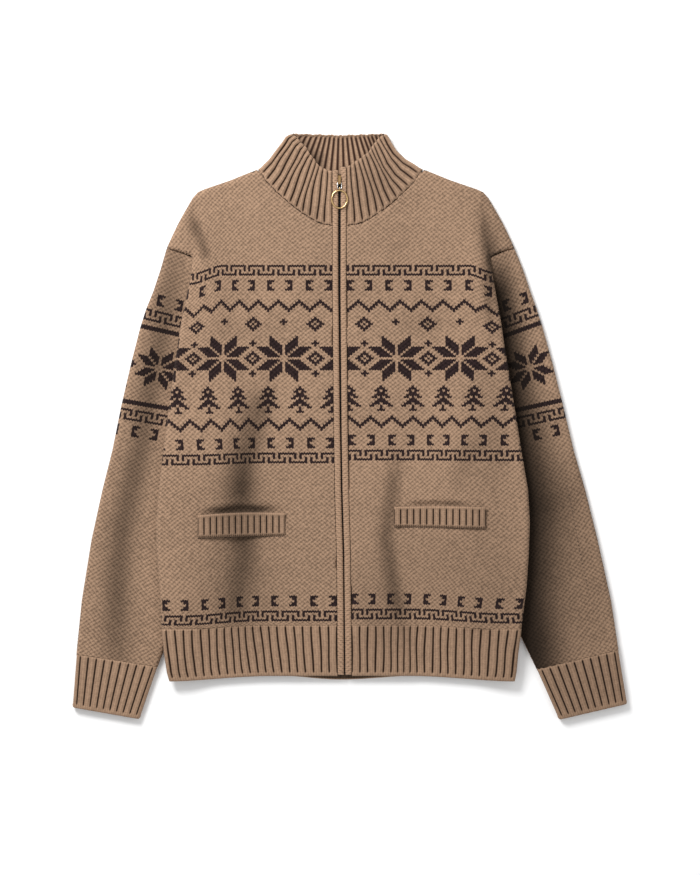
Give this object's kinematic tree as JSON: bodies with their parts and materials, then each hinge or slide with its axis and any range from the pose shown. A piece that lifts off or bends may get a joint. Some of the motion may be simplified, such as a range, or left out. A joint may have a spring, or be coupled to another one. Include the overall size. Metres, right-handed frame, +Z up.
{
  "type": "zip cardigan",
  "caption": "Chunky knitted zip-front cardigan laid flat, with patterned bands, ribbed stand collar, hem and cuffs, welt pockets and a ring zip pull.",
  "frame": {"origin": "on the table under the middle of the laid-out garment's outline", "axes": "+X towards the wearer's left sleeve, which is the viewer's right; +Y from the hem to the collar; +Z up from the table, out of the garment's front"},
  "size_m": [0.7504, 0.793, 0.0309],
  "materials": {
    "knit": "matt wool knit, tan with dark brown motifs",
    "rib": "matt wool rib, tan",
    "zip": "dark woven tape and teeth",
    "brass": "polished",
    "nickel": "satin"
  },
  "bodies": {
    "garment": {"back": "knit", "front_right": "knit", "front_left": "knit", "sleeve_right": "knit", "sleeve_left": "knit", "hem_back": "rib", "hem_front_right": "rib", "hem_front_left": "rib", "cuff_right": "rib", "cuff_left": "rib", "collar": "rib", "pocket_welt_right": "rib", "pocket_welt_left": "rib", "zip_band_right": "rib", "zip_band_left": "rib", "zip_chain": "zip", "zip_slider": "brass"},
    "link": {"pull_link": "nickel"},
    "ring": {"pull_ring": "brass"}
  },
  "joints": [
    {"name": "link_swing", "type": "hinge", "parent": "garment", "child": "link", "pos_m": [-0.014, 0.32845, 0.0149], "axis": [-1, 0, 0], "range_deg": [0, 120]},
    {"name": "ring_swing", "type": "hinge", "parent": "link", "child": "ring", "pos_m": [-0.014, 0.32107, 0.0155], "axis": [-1, 0, 0], "range_deg": [0, 60]}
  ]
}
